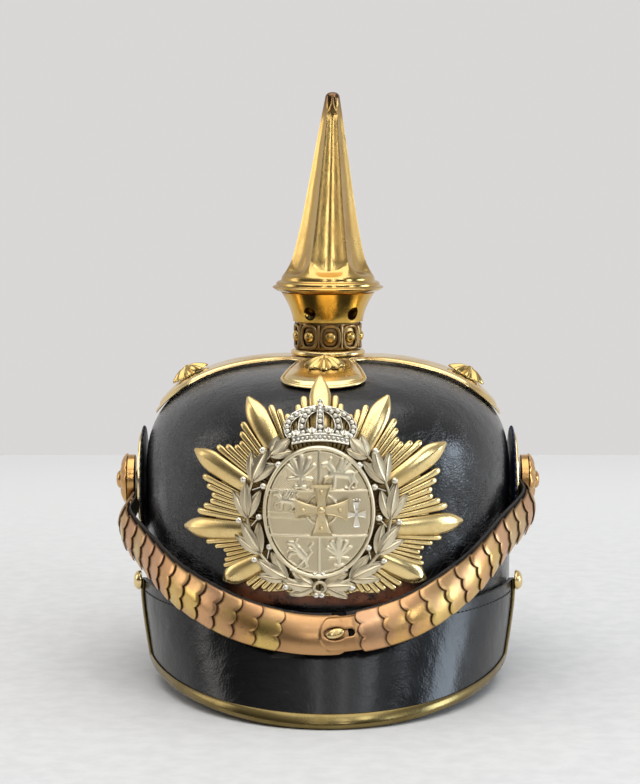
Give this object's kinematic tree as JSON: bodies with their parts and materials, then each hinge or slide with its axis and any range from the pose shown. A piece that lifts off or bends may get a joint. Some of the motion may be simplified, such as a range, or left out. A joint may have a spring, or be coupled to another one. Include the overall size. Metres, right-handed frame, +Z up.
{
  "type": "spiked helmet",
  "caption": "Black lacquered leather helmet with a fluted brass spike on a cross-shaped base, a ray plate with a silver badge, a square-cut peak and chin scales fastened over it.",
  "frame": {"origin": "on the surface the helmet stands on, under the middle of its length and width", "axes": "+Z up along the spike, -Y to the front where the peak is, +X to the right of someone facing it"},
  "size_m": [0.2196, 0.2896, 0.2966],
  "materials": {
    "lacquer": "cracked gloss lacquer",
    "strap_leather": "rough, worn",
    "brass": "polished, some tarnish",
    "dark_brass": "dark patina",
    "scale_brass": "mixed coppery tints",
    "silver": "warm worn silver",
    "black_disc": "satin",
    "blue_disc": "satin"
  },
  "bodies": {
    "root": {"shell": "lacquer", "front_peak": "lacquer", "neck_guard": "lacquer", "front_peak_trim": "brass", "rear_spine": "brass", "cross_base": "brass", "base_collar": "brass", "spike_neck": "brass", "spike": "brass", "star_plate": "brass", "base_star_front": "brass", "base_star_right": "brass", "base_star_rear": "brass", "base_star_left": "brass", "peak_stud_left": "brass", "peak_stud_right": "brass", "rosette_left": "brass", "rosette_right": "brass", "chin_button": "brass", "pearl_ring": "dark_brass", "shield": "silver", "laurel_wreath": "silver", "crown": "silver", "shield_cross": "silver", "cockade_left": "black_disc", "cockade_right": "blue_disc", "strap_left": "strap_leather", "strap_right": "strap_leather", "chin_scale_left_01": "scale_brass", "chin_scale_left_02": "scale_brass", "chin_scale_left_03": "scale_brass", "chin_scale_left_04": "scale_brass", "chin_scale_left_05": "scale_brass", "chin_scale_left_06": "scale_brass", "chin_scale_left_07": "scale_brass", "chin_scale_left_08": "scale_brass", "chin_scale_left_09": "scale_brass", "chin_scale_left_10": "scale_brass", "chin_scale_left_11": "scale_brass", "chin_scale_left_12": "scale_brass", "chin_scale_left_13": "scale_brass", "chin_scale_right_01": "scale_brass", "chin_scale_right_02": "scale_brass", "chin_scale_right_03": "scale_brass", "chin_scale_right_04": "scale_brass", "chin_scale_right_05": "scale_brass", "chin_scale_right_06": "scale_brass", "chin_scale_right_07": "scale_brass", "chin_scale_right_08": "scale_brass", "chin_scale_right_09": "scale_brass", "chin_scale_right_10": "scale_brass", "chin_scale_right_11": "scale_brass", "chin_scale_right_12": "scale_brass", "chin_scale_right_13": "scale_brass", "chin_end_plate": "scale_brass", "chin_tongue": "scale_brass"}
  },
  "joints": []
}
